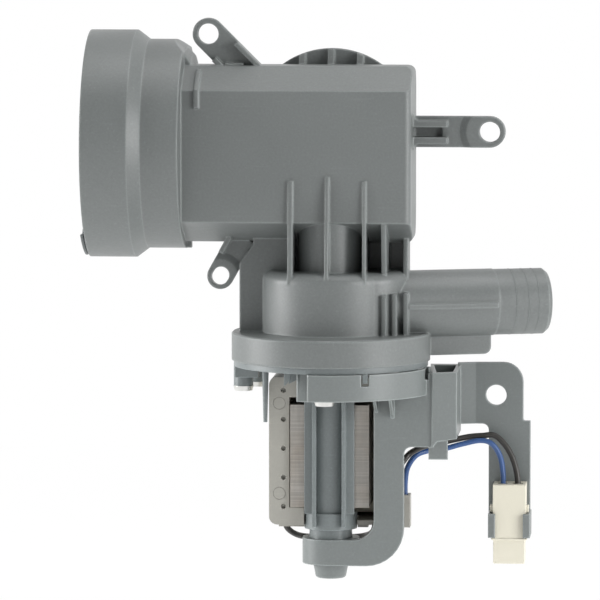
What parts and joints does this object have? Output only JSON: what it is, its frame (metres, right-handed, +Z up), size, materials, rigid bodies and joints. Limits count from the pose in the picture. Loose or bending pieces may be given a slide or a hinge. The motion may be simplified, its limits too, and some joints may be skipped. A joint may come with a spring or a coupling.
{
  "type": "washer drain pump",
  "caption": "Upright washing machine drain pump: side filter chamber with screw cap, volute with outlet spigot, and a synchronous motor hung below in its bracket.",
  "frame": {"origin": "on the pump's axis, in the joint between the pump housing and the rotor housing, in the mid-plane of the fixing ears", "axes": "+X from the filter mouth to the outlet, +Y to the back, along the fixing screws and the rear inlet, +Z up along the pump's axis"},
  "size_m": [0.1869, 0.0944, 0.2245],
  "materials": {
    "housing_plastic": "satin moulded grey",
    "filter_plastic": "dark grey moulded",
    "seal_rubber": "black rubber",
    "impeller_plastic": "black moulded",
    "shaft_steel": "ground",
    "magnet": "ferrite",
    "sleeve_plastic": "natural moulded",
    "bearing_bronze": "sintered",
    "can_plastic": "satin moulded blue-grey",
    "lamination_steel": "cut edges",
    "winding_copper": "enamelled",
    "cover_plastic": "satin warm grey",
    "contact_metal": "tinned",
    "bracket_plastic": "satin moulded light grey",
    "screw_steel": "zinc plated",
    "lead_black": "soft",
    "lead_blue": "soft",
    "connector_plastic": "cream"
  },
  "bodies": {
    "pump": {"pump_housing": "housing_plastic", "chamber_front": "housing_plastic", "chamber_rear": "housing_plastic", "filter_collar": "housing_plastic", "inlet_spigot": "housing_plastic", "outlet_spigot": "housing_plastic", "volute_seal": "seal_rubber", "bearing_carrier": "impeller_plastic", "shaft_seal": "seal_rubber", "front_bearing": "bearing_bronze", "rear_bearing": "bearing_bronze", "thrust_washer": "shaft_steel", "rotor_housing": "can_plastic", "stator_core": "lamination_steel", "bobbin_left": "sleeve_plastic", "bobbin_right": "sleeve_plastic", "winding_left": "winding_copper", "winding_right": "winding_copper", "coil_cover_front": "cover_plastic", "coil_cover_rear": "cover_plastic", "coil_terminals": "contact_metal", "motor_bracket": "bracket_plastic", "flange_screws": "screw_steel", "wire_black": "lead_black", "wire_blue": "lead_blue", "connector": "connector_plastic", "contacts": "contact_metal"},
    "rotor": {"impeller": "impeller_plastic", "rotor_shaft": "shaft_steel", "rotor_magnet": "magnet", "rotor_sleeve": "sleeve_plastic"},
    "filter_slide": {"filter_seal": "seal_rubber"},
    "filter": {"filter_cap": "filter_plastic", "filter_basket": "filter_plastic"}
  },
  "joints": [
    {"name": "rotor_spin", "type": "hinge", "parent": "pump", "child": "rotor", "pos_m": [0, 0, 0], "axis": [0, 0, 1], "continuous": true},
    {"name": "filter_pull", "type": "slide", "parent": "pump", "child": "filter_slide", "axis": [-1, 0, 0], "range_m": [0, 0.1]},
    {"name": "filter_turn", "type": "hinge", "parent": "filter_slide", "child": "filter", "pos_m": [-0.09, 0.008, 0.0855], "axis": [1, 0, 0], "range_deg": [0, 90]}
  ]
}
